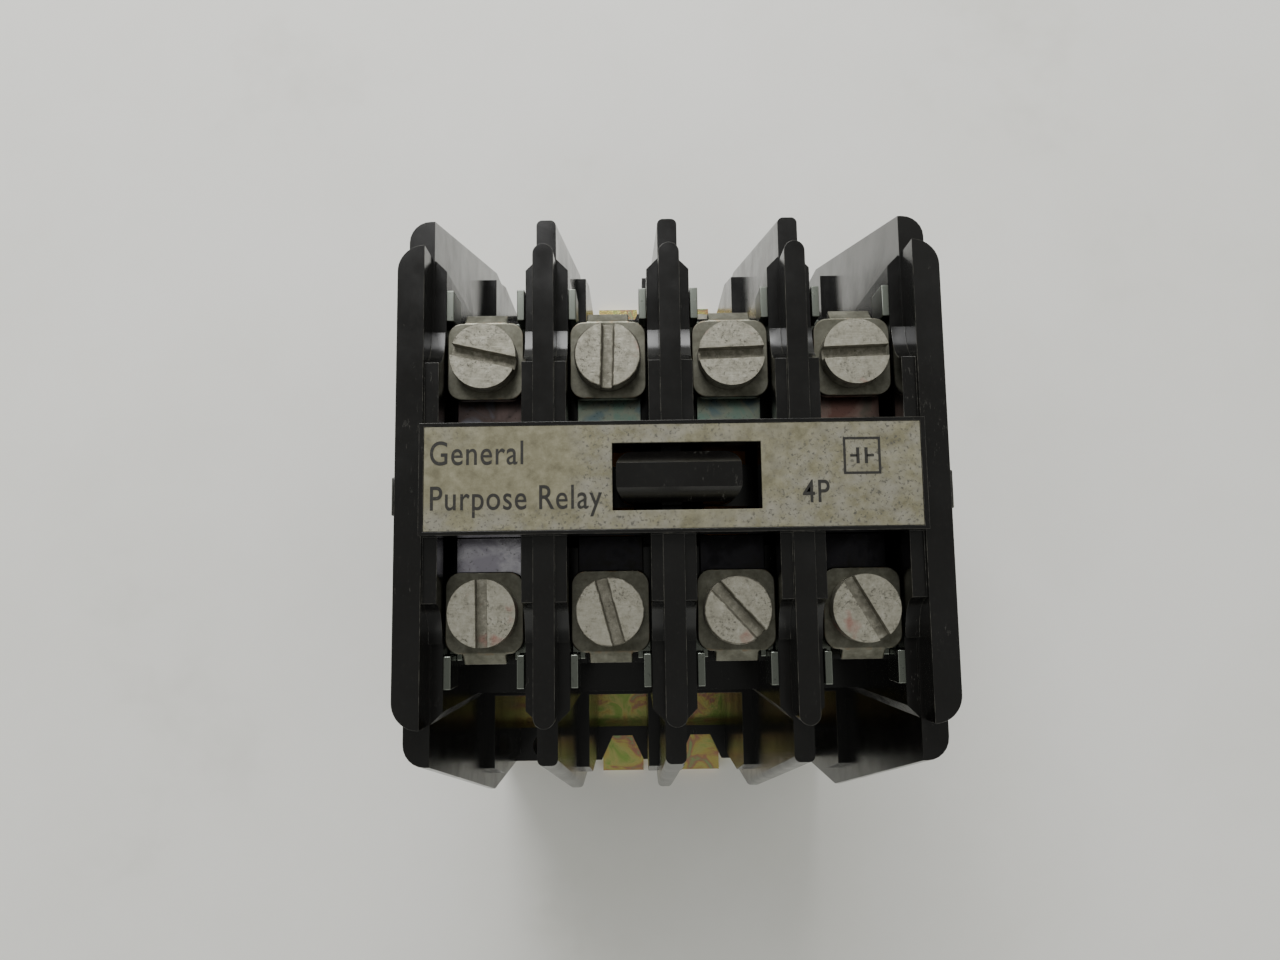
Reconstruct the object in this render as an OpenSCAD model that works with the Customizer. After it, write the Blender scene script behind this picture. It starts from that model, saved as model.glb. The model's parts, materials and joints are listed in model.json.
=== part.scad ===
// Four-pole industrial control relay, lying on its back.
// From the bottom: steel mounting plate, moulded base with the magnet and coil,
// contact block with flared fins and screw terminals, front cover with its label.
// +Z points out of the label, +Y to the line terminals, +X to pole 4.
// The origin is the centre of the mounting face.

/* [Poles] */
// Distance between neighbouring poles
pitch = 12.7; // [12.2:0.1:16]
// Thickness of the fins between poles
fin_t = 2.05; // [1.6:0.05:2.6]
// Thickness of the two outer walls
wall_t = 2.65; // [2:0.05:4]
// Extra thickness of a fin beside a terminal, each side
shoulder_t = 1.2; // [0.8:0.1:1.4]

/* [Housing ends] */
// Half length of the contact block's body
block_half_y = 22.3; // [21.6:0.1:26]
// Step from the contact block's body out to the base's end wall
base_step = 2; // [1:0.1:4]
// Thickness of the base's end walls
end_wall_t = 2.2; // [1.6:0.1:3]
// How far the front cover's ridges pass the contact block's body
ridge_over = 1.7; // [1.4:0.1:3]
// How far the fins pass the front cover's ridges at the front
fin_over = 4; // [2:0.1:6]
// How far the fins flare outward from front to foot
flare = 10.2; // [6:0.1:14]
// Height of the flare's foot below the joint between base and block
flare_drop = 10; // [4:0.5:16]
// Height that the pads beside the base's fins stand proud of them
pad_t = 1.35; // [0.6:0.05:1.6]
// Inset of those pads from the flared edge
pad_inset = 2.2; // [1:0.1:4]

/* [Mounting] */
// Thickness of the steel mounting plate
plate_t = 1.6; // [1:0.1:2.5]
// Width of one ear of the mounting plate
ear_w = 6.8; // [5:0.1:9]
// How far the ears pass the foot of the fins
ear_over = 1.8; // [1:0.1:5]
// Diameter of the mounting holes
mount_d = 3.8; // [3:0.1:4.2]
// Distance between the mounting holes along Y
mount_span_y = 69.85; // [68.5:0.05:70.5]
// Width of the flange bars along Y
flange_w = 5.3; // [5:0.1:6]
// Height of the flange bars above the plate
flange_h = 6.4; // [3:0.1:10]

/* [Magnet] */
// Thickness of the base's floor
base_floor_t = 2.4; // [1.6:0.1:4]
// Thickness of the rubber cushion under the magnet
cushion_t = 1.2; // [0.8:0.1:2]
// Width of the magnet along X
core_w = 39; // [36:0.5:40]
// Thickness of the lamination stack along Y
stack_t = 12; // [10:0.5:13]
// Height of the magnet's yoke
yoke_h = 5; // [4:0.1:7]
// Height of the magnet's legs above the yoke
leg_h = 16.8; // [14:0.1:22]
// Width of an outer leg
outer_leg_w = 5; // [4:0.1:5.5]
// Width of the centre leg
centre_leg_w = 9; // [8:0.1:10]
// Height of the armature
armature_h = 6; // [5:0.1:8]
// Wall of the coil bobbin
bobbin_t = 1.2; // [0.8:0.1:1.6]

/* [Motion] */
// Travel of the crossbar when the coil is energised
travel = 4; // [3:0.1:5]
// Opening of a contact at rest
contact_gap = 3; // [2:0.1:3.4]
// Rest length of the spring over a normally open contact
open_spring_h = 5; // [4:0.1:7]
// Rest length of the spring under a normally closed contact
closed_spring_h = 4; // [3.5:0.1:6]

/* [Crossbar] */
// Thickness of the crossbar along Y
bar_t = 4.4; // [3.8:0.1:4.8]
// Material left above and below the contact windows
bar_edge = 2.1; // [1.5:0.1:3]
// Diameter of the armature's pin
pin_d = 2.5; // [2:0.1:2.8]
// Length of the actuator's button along X
button_l = 12.1; // [8:0.1:14]
// Width of the actuator's button
button_w = 5; // [4:0.1:5.6]

/* [Contacts] */
// Width of the contact bridges
bridge_w = 5; // [4:0.1:6]
// Thickness of the contact bridges
bridge_t = 0.8; // [0.6:0.1:1.2]
// Half length of the contact bridges
bridge_half_y = 4.9; // [4.6:0.1:5.2]
// Diameter of the silver contact tips
tip_d = 1.8; // [1.4:0.1:2]
// Height of the silver contact tips
tip_h = 0.8; // [0.5:0.1:1]

/* [Terminals] */
// Distance of the terminal screws from the centre line
screw_y = 13; // [12.6:0.1:13.4]
// Diameter of the terminal screws' heads
head_d = 6.8; // [5.5:0.1:7.2]
// Height of the terminal screws' heads
head_h = 2.2; // [1.5:0.1:3]
// Diameter of the terminal screws' shanks
shank_d = 3.4; // [2.9:0.1:3.9]
// Width of the screwdriver slots
slot_w = 1.15; // [0.8:0.05:1.4]
// Thickness of the terminal straps
strap_t = 1; // [0.8:0.05:1.2]
// Thickness of the clamping plates
clamp_t = 1.1; // [0.8:0.05:1.4]
// Length of the clamping plates along Y
clamp_l = 8.2; // [7.4:0.1:8.6]
// Opening between strap and clamping plate, screw loosened
clamp_gap = 2; // [1.4:0.1:2.6]
// Depth of the terminal floor below the top of the contact block
floor_drop = 4.4; // [4:0.1:6]
// Depth of the wire mouths at the block's ends, below the terminal floor
mouth_depth = 13.6; // [8:0.1:16]

/* [Cover and label] */
// Height of the front cover's ridges
cover_h = 4; // [3:0.1:6]
// Width of the front cover's ridges
ridge_w = 2.1; // [1.6:0.05:2.6]
// Half width of the bridge that carries the label
bridge_cover_y = 5.5; // [5.3:0.1:6]
// Height of the label bridge above the ridges
label_rise = 1.2; // [0.6:0.1:2]
// Length of the label
label_l = 48.35; // [40:0.05:48.6]
// Width of the label
label_w = 10.2; // [9:0.1:10.4]
// Thickness of the label
label_t = 0.3; // [0.2:0.05:0.5]

/* [Hidden] */
$fn = 48;

// Clearances
slide_gap = 0.3;    // between a moving piece and its guide
seat_gap = 0.1;     // between a part and the stop it rests on
close_gap = 0.02;   // between closed contacts
pole_gap = 0.05;    // between armature and pole faces when pulled in
thread_gap = 0.08;  // radial, screw in its threaded hole
fit_gap = 0.2;      // between fixed pieces that are put together
eps = 0.01;         // overshoot of a cut through a face

// Layout across the poles
inner_x = 2 * pitch - fin_t / 2;
outer_x = inner_x + wall_t;
pocket_w = pitch - fin_t - 2 * shoulder_t;
shoulder_root = 0.3;  // how far a shoulder's middle stands inside an outer wall
function pole_x(n) = (n - 2.5) * pitch;
function is_closed(n) = n == 1 || n == 4;

// Heights of the magnet, from the mounting face up
base_floor_z = plate_t + base_floor_t;
core_z = base_floor_z + cushion_t;
yoke_top = core_z + yoke_h;
pole_face_z = yoke_top + leg_h;
armature_z = pole_face_z + pole_gap + travel;
armature_top = armature_z + armature_h;
tongue_h = 3.95;
tongue_half_x = 3;
tongue_top = armature_top + tongue_h;
carrier_bottom = armature_top + 0.15;
carrier_top = tongue_top + fit_gap + 1.8;
base_top = armature_top + 0.45;

// Heights of the deck, crossbar and contacts
deck_bottom = carrier_top + slide_gap;
deck_top = deck_bottom + 3.2;
bar_bottom = deck_top + travel + 4;
closed_bridge_z = bar_bottom + bar_edge + closed_spring_h;
open_bridge_z = closed_bridge_z + 2;
overtravel = travel - contact_gap;
open_window_top = open_bridge_z + bridge_t + open_spring_h + seat_gap;
bar_top = open_window_top + bar_edge - seat_gap;
open_foot_top = open_bridge_z - 2 * tip_h - contact_gap;
closed_foot_bottom = closed_bridge_z + bridge_t + 2 * tip_h + close_gap;

// Heights of the terminals and the front
floor_z = bar_top - 0.9;
strap_top = floor_z + strap_t;
clamp_z = strap_top + clamp_gap;
head_z = clamp_z + clamp_t;
block_top = floor_z + floor_drop;
shoulder_top = block_top - 0.5;
mouth_z = floor_z - mouth_depth;
front_z = block_top + cover_h;
label_z = front_z + label_rise;
bridge_under_z = block_top + cover_h / 2;

// Lengths along Y
box_half_y = block_half_y + base_step;
cavity_half_y = box_half_y - end_wall_t;
ridge_half_y = block_half_y + ridge_over;
fin_top_half_y = ridge_half_y + fin_over;
fin_foot_half_y = fin_top_half_y + flare;
flare_z = base_top - flare_drop;
flange_out_y = fin_foot_half_y - 0.9;
flange_in_y = flange_out_y - flange_w;
ear_half_y = fin_foot_half_y + ear_over;
ear_x = pole_x(3);
mount_x = pole_x(4);

// Strap and chamber
strap_w = pocket_w - 1.45;
chamber_half_y = strap_t + 5.3;
strap_in_y = chamber_half_y - seat_gap - strap_t;
strap_foot_y = 2.9;
strap_out_y = block_half_y - 1.8;
strap_arm_y = screw_y + 3.4;
guard_t = 0.8;
guard_half_x = pocket_w / 2 - 0.05;
tip_y = 3.9;
clamp_w = pocket_w - 0.25;
clamp_in_y = screw_y - clamp_l / 2 - 0.05;
tongue_w = 4.4;
tongue_reach = 1.15;
mouth_in_y = clamp_in_y + clamp_l + tongue_reach + seat_gap;
screw_len = 11.7;
screw_well_z = head_z - screw_len - clamp_gap - 2;

// Carrier and return springs
carrier_half_x = 7.5;
carrier_half_y = stack_t / 2 + 2.4;
arm_half_x = 5;
spring_r = 2.8;
spring_wire = 0.8;
spring_y = carrier_half_y + spring_r + 2 * slide_gap;
arm_half_y = spring_y + 3;
arm_bottom = carrier_bottom + 1;
stem_half_x = 8;
bar_half_x = inner_x - 0.75;

// Coil
bobbin_z = yoke_top + fit_gap;
bobbin_top = pole_face_z - 0.4;
leg_x = core_w / 2 - outer_leg_w;
flange_half_x = leg_x - 0.6;
flange_half_y = spring_y + 4;
winding_half_x = flange_half_x - 1.5;
winding_half_y = flange_half_y - 1.6;
wrap_t = 0.4;
ring_w = 1;
ring_split = 2;

// Coil terminals
coil_y = box_half_y + 2.9;
coil_x = pole_x(3);
coil_floor_z = bobbin_top + 1;
coil_strap_t = 0.8;
coil_strap_w = 5;
coil_clamp_gap = 1.5;
coil_clamp_t = 1;
coil_clamp_z = coil_floor_z + coil_strap_t + coil_clamp_gap;
coil_head_z = coil_clamp_z + coil_clamp_t;
coil_head_d = 5.2;
coil_head_h = 2;
coil_shank_d = 2.9;
coil_screw_len = 7.5;
shelf_out_y = box_half_y + 5.7;
shelf_t = 5.6;

// Screws that hold the housing together
deck_screw_x = inner_x - 4.1;
deck_screw_y = cavity_half_y - 2.9;
deck_screw_d = 3;
deck_head_d = 5.4;
base_screw_y = cavity_half_y - 2.8;
base_screw_d = 2.9;
base_head_d = 5;
boss_wall = 1.8;

// Actuator window, from the left edge of the button
button_x = -5.5;
window_left = button_x - 0.4;
window_right = button_x + button_l + 2;
window_half_y = button_w / 2 + 0.8;

// Colours
phenolic = "#1a1a18";
zinc = "#a5a59d";
dichromate = "#b5ad6c";
silver = "#c9c9c4";
steel = "#8b8d90";
foil = "#8f8d7e";

// ---- Shared shapes ----

// A block between two opposite corners
module block(low, high) {
    translate(low) cube(high - low);
}

// The same shape at both ends of Y
module both_ends() {
    children();
    mirror([0, 1, 0]) children();
}

// The same shape at both sides of X
module both_sides() {
    children();
    mirror([1, 0, 0]) children();
}

// A shape drawn in the Y-Z plane, centred on x and t thick along X
module across_x(x, t) {
    translate([x - t / 2, 0, 0]) rotate([90, 0, 90]) linear_extrude(t) children();
}

// A shape drawn in plan, from one height to another
module upright(z_low, z_high) {
    translate([0, 0, z_low]) linear_extrude(z_high - z_low) children();
}

// A round bar along Z
module post(x, y, z_low, z_high, d) {
    translate([x, y, z_low]) cylinder(h = z_high - z_low, d = d);
}

// A rectangle with round corners, centred
module round_rect(w, l, r) {
    square([w - 2 * r, l], center = true);
    square([w, l - 2 * r], center = true);
    for (x = [-1, 1], y = [-1, 1]) {
        translate([x * (w / 2 - r), y * (l / 2 - r)]) circle(r);
    }
}

// A rectangular frame in plan
module frame(w, l, t) {
    difference() {
        square([w, l], center = true);
        square([w - 2 * t, l - 2 * t], center = true);
    }
}

// Half length of the fins at a height: straight at the foot, then drawing in to the front
function fin_half_y(z) = z <= flare_z
    ? fin_foot_half_y
    : fin_foot_half_y - flare * (z - flare_z) / (block_top - flare_z);

// A fin or wall between two heights
module flared_wall(x, t, z_low, z_high, inset = 0) {
    levels = z_low < flare_z && z_high > flare_z ? [z_low, flare_z, z_high] : [z_low, z_high];
    right = [for (z = levels) [fin_half_y(z) - inset, z]];
    left = [for (i = [len(levels) - 1:-1:0]) [inset - fin_half_y(levels[i]), levels[i]]];
    across_x(x, t) polygon(concat(right, left));
}

// The five fins and walls of one housing, with their pads if the inset is given
module fin_row(z_low, z_high, extra = 0, inset = 0) {
    for (i = [-1:1]) flared_wall(i * pitch, fin_t + 2 * extra, z_low, z_high, inset);
    both_sides() flared_wall(inner_x + (wall_t - extra) / 2, wall_t + extra, z_low, z_high, inset);
}

// ---- Housing ----

module mounting_plate() {
    color(dichromate) difference() {
        upright(0, plate_t) {
            round_rect(2 * (outer_x - 0.8), 2 * (flange_out_y - 0.3), 1.5);
            for (x = [-ear_x, ear_x]) translate([x, 0]) square([ear_w, 2 * ear_half_y], center = true);
        }
        for (x = [-1, 1], y = [-1, 1]) {
            post(x * mount_x, y * mount_span_y / 2, -eps, plate_t + eps, mount_d);
            post(x * deck_screw_x, y * deck_screw_y, -eps, plate_t + eps, deck_head_d + 2 * fit_gap);
        }
        for (y = [-1, 1]) translate([0, y * base_screw_y, -eps]) {
            cylinder(h = plate_t + 2 * eps, d1 = base_head_d + fit_gap, d2 = base_screw_d + fit_gap);
        }
    }
}

module flange_bar() {
    difference() {
        block([-inner_x, flange_in_y, plate_t], [inner_x, flange_out_y, plate_t + flange_h]);
        both_sides() upright(plate_t - eps, plate_t + flange_h + eps) polygon([
            [ear_x - 1.6, flange_in_y + 1.5], [ear_x + 1.6, flange_in_y + 1.5],
            [ear_x + ear_w / 2, flange_out_y + eps], [ear_x - ear_w / 2, flange_out_y + eps]
        ]);
    }
}

// Shelves for the coil terminals, on the line end
module coil_shelves() {
    both_sides() block(
        [coil_x - pocket_w / 2, box_half_y - 1, coil_floor_z - shelf_t],
        [coil_x + pocket_w / 2, shelf_out_y, coil_floor_z]
    );
}

module base_solid() {
    fin_row(plate_t, base_top);
    fin_row(plate_t, base_top, pad_t, pad_inset);
    block([-inner_x, -box_half_y, plate_t], [inner_x, box_half_y, base_top]);
    both_ends() flange_bar();
    coil_shelves();
}

module base_cavity() {
    difference() {
        block([-inner_x, -cavity_half_y, base_floor_z], [inner_x, cavity_half_y, base_top + eps]);
        for (x = [-1, 1], y = [-1, 1]) {
            post(x * deck_screw_x, y * deck_screw_y, base_floor_z, base_top, deck_screw_d + 2 * boss_wall);
            post(0, y * base_screw_y, base_floor_z, base_floor_z + 5, base_screw_d + 2 * boss_wall);
        }
    }
}

module base_housing() {
    color(phenolic) difference() {
        base_solid();
        base_cavity();
        for (x = [-1, 1], y = [-1, 1]) {
            post(x * mount_x, y * mount_span_y / 2, plate_t - eps, plate_t + flange_h + eps, mount_d);
            post(x * deck_screw_x, y * deck_screw_y, plate_t - eps, base_top + eps, deck_screw_d + fit_gap);
            post(x * deck_screw_x, y * deck_screw_y, plate_t - eps, plate_t + 2.2, deck_head_d + fit_gap);
            post(0, y * base_screw_y, plate_t - eps, base_floor_z + 4, base_screw_d + 2 * thread_gap);
        }
        both_sides() {
            block(
                [coil_x - coil_strap_w / 2 - seat_gap, cavity_half_y - eps, coil_floor_z],
                [coil_x + coil_strap_w / 2 + seat_gap, box_half_y + eps, coil_floor_z + coil_strap_t + seat_gap]
            );
            post(coil_x, coil_y, coil_floor_z - shelf_t - eps, coil_floor_z + eps, coil_shank_d + 1);
        }
    }
}

// Plan of the thick part of a fin beside the terminals, its outer end chamfered
module shoulder_plan(half_w, half_narrow) {
    start_y = screw_y - 1;
    end_y = block_half_y + 0.4;
    polygon([
        [-half_w, start_y], [half_w, start_y], [half_w, end_y],
        [half_narrow, end_y + shoulder_t], [-half_narrow, end_y + shoulder_t], [-half_w, end_y]
    ]);
}

module shoulders(z_low, z_high) {
    both_ends() upright(z_low, z_high) {
        for (i = [-1:1]) translate([i * pitch, 0]) {
            shoulder_plan(fin_t / 2 + shoulder_t, fin_t / 2);
        }
        for (x = [-inner_x - shoulder_root, inner_x + shoulder_root]) translate([x, 0]) {
            shoulder_plan(shoulder_t + shoulder_root, shoulder_root);
        }
    }
}

module block_solid() {
    fin_row(base_top, block_top);
    shoulders(base_top, shoulder_top);
    difference() {
        block([-inner_x, -block_half_y, base_top], [inner_x, block_half_y, floor_z]);
        for (n = [1:4]) block(
            [pole_x(n) - (pitch - fin_t) / 2, -chamber_half_y, deck_top],
            [pole_x(n) + (pitch - fin_t) / 2, chamber_half_y, floor_z + eps]
        );
    }
}

// Space for the carrier, and the slot that the crossbar slides in
module crossbar_space() {
    block(
        [-carrier_half_x - 15, -arm_half_y - 1.2, base_top - eps],
        [carrier_half_x + 15, arm_half_y + 1.2, deck_bottom]
    );
    block(
        [-inner_x + slide_gap, -bar_t / 2 - slide_gap, deck_bottom - eps],
        [inner_x - slide_gap, bar_t / 2 + slide_gap, block_top + eps]
    );
}

// Well for one terminal screw, the hollow below it, the notch for the clamp's tongue,
// and the mouth where the wire comes in
module terminal_cuts(n) {
    post(pole_x(n), screw_y, screw_well_z - eps, floor_z + eps, shank_d + 1.2);
    block(
        [pole_x(n) - pocket_w / 2, chamber_half_y + 2.2, base_top - eps],
        [pole_x(n) + pocket_w / 2, screw_y + 3, screw_well_z]
    );
    block(
        [pole_x(n) - tongue_w / 2 - 0.4, strap_arm_y, floor_z - 1],
        [pole_x(n) + tongue_w / 2 + 0.4, mouth_in_y + eps, floor_z + eps]
    );
    block(
        [pole_x(n) - pocket_w / 2, mouth_in_y, mouth_z],
        [pole_x(n) + pocket_w / 2, block_half_y + eps, floor_z + eps]
    );
}

module contact_block() {
    color(phenolic) difference() {
        block_solid();
        crossbar_space();
        both_ends() for (n = [1:4]) terminal_cuts(n);
        for (x = [-1, 1], y = [-1, 1]) {
            post(x * deck_screw_x, y * deck_screw_y, base_top - eps, base_top + 10.5, deck_screw_d + 2 * thread_gap);
        }
    }
}

// Plan of a cover ridge, from the bridge's underside out to its round end
module ridge_plan() {
    inner_y = bar_t / 2 + slide_gap;
    translate([-ridge_w / 2, inner_y]) square([ridge_w, ridge_half_y - ridge_w / 2 - inner_y]);
    translate([0, ridge_half_y - ridge_w / 2]) circle(d = ridge_w);
}

// Plan of the cover's outer wall, its outer corner round
module cover_wall_plan() {
    low_x = inner_x + 0.22;
    high_x = outer_x + 0.27;
    r = high_x - low_x;
    square_y = ridge_half_y - r;
    translate([low_x, -square_y]) square([r, 2 * square_y]);
    both_ends() intersection() {
        translate([low_x, square_y]) circle(r);
        translate([low_x, square_y]) square(r);
    }
}

// Side view of the block beside the label and the hollow ramp that runs down from it
module ramp_profile() {
    top = front_z - 0.7;
    start_y = screw_y - 1;
    run = 4;
    arc = [for (a = [0:15:90]) [start_y + run * (1 - cos(a)), block_top + (top - block_top) * (1 - sin(a))]];
    polygon(concat([[bridge_cover_y - 1, block_top], [bridge_cover_y - 1, top]], arc));
}

module cover_solid() {
    upright(block_top, front_z) {
        both_ends() for (i = [-1:1]) translate([i * pitch, 0]) ridge_plan();
        both_sides() cover_wall_plan();
    }
    both_ends() {
        for (i = [-1:1]) across_x(i * pitch, fin_t + 2 * shoulder_t) ramp_profile();
        both_sides() across_x(inner_x - shoulder_t / 2 + 0.3, shoulder_t + 0.6) ramp_profile();
    }
    block([-inner_x - 0.3, -bridge_cover_y, bridge_under_z], [inner_x + 0.3, bridge_cover_y, label_z]);
}

// Skirts that close the contact chambers above the straps
module cover_skirts() {
    both_ends() for (n = [1:4]) block(
        [pole_x(n) - (pitch - fin_t) / 2 + fit_gap, window_half_y + 0.3, strap_top + fit_gap],
        [pole_x(n) + (pitch - fin_t) / 2 - fit_gap, bridge_cover_y - 0.4, bridge_under_z + eps]
    );
}

module front_cover() {
    color(phenolic) difference() {
        union() {
            cover_solid();
            cover_skirts();
        }
        block([window_left, -window_half_y, block_top - 5], [window_right, window_half_y, label_z + eps]);
        block(
            [-label_l / 2 - 0.02, -label_w / 2 - 0.02, label_z - label_t - 0.05],
            [label_l / 2 + 0.02, label_w / 2 + 0.02, label_z + eps]
        );
    }
}

module label_plate() {
    color(foil) upright(label_z - label_t - 0.05, label_z - 0.05) difference() {
        square([label_l, label_w], center = true);
        translate([window_left, -window_half_y]) {
            square([window_right - window_left, 2 * window_half_y]);
        }
    }
}

// Spring clips that hold the cover to the contact block
module side_clips() {
    clip_t = 0.4;
    clip_w = 3.8;
    face_x = outer_x + 0.27;
    color(phenolic) both_sides() translate([0, -1.45, 0]) {
        block([face_x, -clip_w / 2, block_top - 8], [face_x + clip_t, clip_w / 2, front_z - 0.6]);
        block([outer_x, -clip_w / 2, block_top - 8], [face_x, clip_w / 2, block_top]);
    }
}

// Long screws from under the base into the contact block
module deck_screws() {
    top = base_top + 10;
    color(steel) for (x = [-1, 1], y = [-1, 1]) difference() {
        union() {
            post(x * deck_screw_x, y * deck_screw_y, plate_t + 0.1, plate_t + 2.2, deck_head_d);
            post(x * deck_screw_x, y * deck_screw_y, plate_t + 2, top, deck_screw_d);
        }
        translate([x * deck_screw_x, y * deck_screw_y, plate_t + 0.1]) {
            cube([deck_head_d + 1, 1, 2], center = true);
        }
    }
}

// Flat-head screws that hold the plate to the base
module base_screws() {
    color(steel) for (y = [-1, 1]) translate([0, y * base_screw_y, 0]) difference() {
        union() {
            cylinder(h = plate_t, d1 = base_head_d, d2 = base_screw_d);
            cylinder(h = base_floor_z + 3.5, d = base_screw_d);
        }
        cube([base_head_d + 1, 0.8, 1.4], center = true);
    }
}

// ---- Magnet and coil ----

// Plan of one shading ring, round the outer part of an outer pole
module ring_plan() {
    low_x = leg_x + ring_split;
    high_x = core_w / 2;
    translate([(low_x + high_x) / 2, 0]) {
        frame(high_x - low_x + 2 * ring_w, stack_t + 2 * ring_w + 0.2, ring_w);
    }
}

module magnet_core() {
    color(steel) difference() {
        across_e() square([core_w, pole_face_z - core_z]);
        both_sides() across_e() translate([core_w / 2 + centre_leg_w / 2, yoke_h]) {
            square([leg_x - centre_leg_w / 2, leg_h + 1]);
        }
        both_sides() block(
            [leg_x + ring_split - ring_w - 0.1, -stack_t, pole_face_z - 1.8],
            [leg_x + ring_split, stack_t, pole_face_z + eps]
        );
    }
}

// A shape drawn in the X-Z plane from the core's lower left corner, as thick as the stack
module across_e() {
    translate([-core_w / 2, stack_t / 2, core_z]) rotate([90, 0, 0]) linear_extrude(stack_t) children();
}

module core_cushion() {
    color("#2b2a28") upright(base_floor_z, core_z) round_rect(core_w - 5, stack_t + 1, 1);
}

module shading_ring(side) {
    color("#b87a4a") mirror([side < 0 ? 1 : 0, 0, 0]) intersection() {
        upright(pole_face_z - 1.5, pole_face_z - 0.3) ring_plan();
        block([0, -stack_t, core_z], [core_w, stack_t, pole_face_z]);
    }
}

module coil_bobbin() {
    tube_w = centre_leg_w + 2 * fit_gap;
    tube_l = stack_t + 2 * fit_gap;
    color("#c9c3ae") difference() {
        union() {
            upright(bobbin_z, bobbin_top) square([tube_w + 2 * bobbin_t, tube_l + 2 * bobbin_t], center = true);
            for (z = [bobbin_z, bobbin_top - bobbin_t]) {
                upright(z, z + bobbin_t) round_rect(2 * flange_half_x, 2 * flange_half_y, 1.5);
            }
            both_sides() block(
                [coil_x - coil_strap_w / 2, winding_half_y - 2, bobbin_top - eps],
                [coil_x + coil_strap_w / 2, flange_half_y, coil_floor_z]
            );
        }
        upright(bobbin_z - eps, coil_floor_z + eps) square([tube_w, tube_l], center = true);
    }
}

// A rounded ring about the bobbin's tube, between its flanges
module coil_ring(outer_half_x, outer_half_y, inner_half_x, inner_half_y, r) {
    upright(bobbin_z + bobbin_t + 0.05, bobbin_top - bobbin_t - 0.05) difference() {
        round_rect(2 * outer_half_x, 2 * outer_half_y, r);
        square([2 * inner_half_x, 2 * inner_half_y], center = true);
    }
}

module coil_winding() {
    tube_half_x = centre_leg_w / 2 + fit_gap + bobbin_t + 0.05;
    tube_half_y = stack_t / 2 + fit_gap + bobbin_t + 0.05;
    color("#8a4b2a") coil_ring(winding_half_x, winding_half_y, tube_half_x, tube_half_y, 3);
}

module coil_wrap() {
    outer_x2 = winding_half_x + 0.05 + wrap_t;
    outer_y2 = winding_half_y + 0.05 + wrap_t;
    color("#d8c878") upright(bobbin_z + bobbin_t + 0.4, bobbin_top - bobbin_t - 0.4) difference() {
        round_rect(2 * outer_x2, 2 * outer_y2, 3 + wrap_t);
        round_rect(2 * (outer_x2 - wrap_t), 2 * (outer_y2 - wrap_t), 3);
    }
}

// ---- Moving system ----

module pin_hole(d) {
    translate([0, carrier_half_y + eps, armature_top + tongue_h / 2 + 0.2]) {
        rotate([90, 0, 0]) cylinder(h = 2 * carrier_half_y + 2 * eps, d = d);
    }
}

module armature() {
    color(steel) difference() {
        union() {
            block([-core_w / 2, -stack_t / 2, armature_z], [core_w / 2, stack_t / 2, armature_top]);
            block([-tongue_half_x, -stack_t / 2, armature_z], [tongue_half_x, stack_t / 2, tongue_top]);
        }
        pin_hole(pin_d + 2 * pole_gap);
    }
}

module armature_pin() {
    color(silver) intersection() {
        pin_hole(pin_d);
        block([-5, -carrier_half_y + 0.1, armature_top], [5, carrier_half_y - 0.1, carrier_top]);
    }
}

// Carrier that holds the armature and takes the return springs
module carrier() {
    difference() {
        union() {
            block(
                [-carrier_half_x, -carrier_half_y, carrier_bottom],
                [carrier_half_x, carrier_half_y, carrier_top]
            );
            block([-arm_half_x, -arm_half_y, arm_bottom], [arm_half_x, arm_half_y, carrier_top]);
        }
        block(
            [-tongue_half_x - fit_gap, -stack_t / 2 - fit_gap, carrier_bottom - eps],
            [tongue_half_x + fit_gap, stack_t / 2 + fit_gap, tongue_top + fit_gap]
        );
        pin_hole(pin_d + 2 * pole_gap);
    }
}

// Window for one contact bridge and its spring
module contact_window(n) {
    z_low = is_closed(n) ? closed_bridge_z - closed_spring_h - seat_gap : open_bridge_z - seat_gap;
    z_high = is_closed(n) ? closed_bridge_z + bridge_t + overtravel + seat_gap : open_window_top;
    block(
        [pole_x(n) - bridge_w / 2 - slide_gap, -bar_t, z_low],
        [pole_x(n) + bridge_w / 2 + slide_gap, bar_t, z_high]
    );
}

// Button with three facets along it and one round end
module actuator() {
    crown_w = button_w * 0.48;
    button_low = block_top + 1.5;
    facet_low = label_z - 0.7;
    top = label_z + 1;
    r = 1.6;
    block([button_x + 0.5, -bar_t / 2 + 0.4, bar_top - eps], [button_x + button_l - 0.5, bar_t / 2 - 0.4, button_low + eps]);
    intersection() {
        across_x(button_x + button_l / 2, button_l) polygon([
            [-button_w / 2, button_low], [button_w / 2, button_low], [button_w / 2, facet_low],
            [crown_w / 2, top], [-crown_w / 2, top], [-button_w / 2, facet_low]
        ]);
        upright(button_low - 1, top + 1) translate([button_x + button_l / 2, 0]) {
            round_rect(button_l, button_w, r);
        }
    }
}

module crossbar() {
    color(phenolic) difference() {
        union() {
            carrier();
            block([-stem_half_x, -bar_t / 2, carrier_top - eps], [stem_half_x, bar_t / 2, bar_bottom + eps]);
            block([-bar_half_x, -bar_t / 2, bar_bottom], [bar_half_x, bar_t / 2, bar_top]);
            actuator();
        }
        for (n = [1:4]) contact_window(n);
    }
}

// Plain tube that holds the space of a coil spring
module spring_tube(x, y, z_low, z_high, r, wire) {
    color(silver) translate([x, y, z_low]) difference() {
        cylinder(h = z_high - z_low, r = r);
        translate([0, 0, -eps]) cylinder(h = z_high - z_low + 2 * eps, r = r - wire);
    }
}

module return_spring(end) {
    spring_tube(0, end * spring_y, bobbin_top + fit_gap, arm_bottom - fit_gap, spring_r, spring_wire);
}

function bridge_z(n) = is_closed(n) ? closed_bridge_z : open_bridge_z;

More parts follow.
